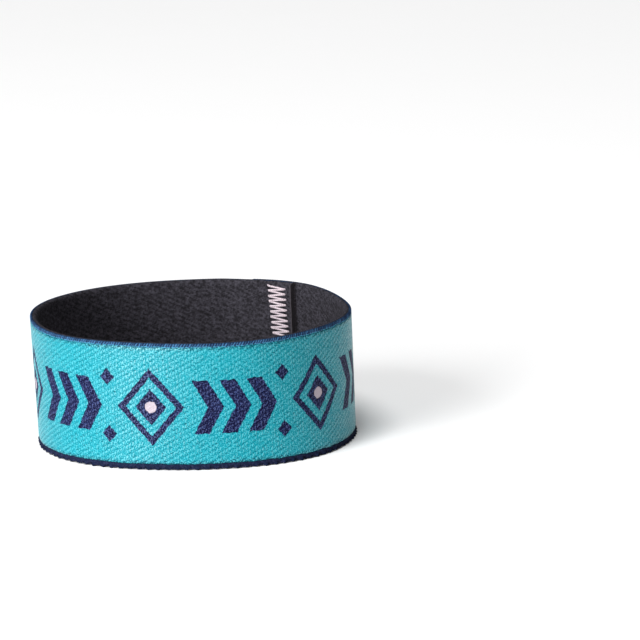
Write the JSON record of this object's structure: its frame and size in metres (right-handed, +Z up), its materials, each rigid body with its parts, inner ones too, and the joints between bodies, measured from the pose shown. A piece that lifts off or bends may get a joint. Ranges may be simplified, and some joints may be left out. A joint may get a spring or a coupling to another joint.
{
  "type": "elastic wristband",
  "caption": "Wide woven elastic wristband: a strip with a black back and a printed teal face, lapped into a standing loop and joined with a zigzag row.",
  "frame": {"origin": "on the surface that the band stands on, under the middle of the loop's bounding box", "axes": "+Z up along the loop's axis and the width of the strip, -Y towards the front of the picture's view, the sewn lap at the back right"},
  "size_m": [0.064, 0.064, 0.025],
  "materials": {
    "elastic_black": "matte ribbed elastic weave",
    "printed_satin": "smooth printed twill with a soft sheen",
    "edge_navy": "matte navy edge yarn",
    "sewing_thread": "white polyester sewing thread"
  },
  "bodies": {
    "root": {"elastic_back": "elastic_black", "printed_face": "printed_satin", "upper_selvedge": "edge_navy", "lower_selvedge": "edge_navy"}
  },
  "joints": []
}
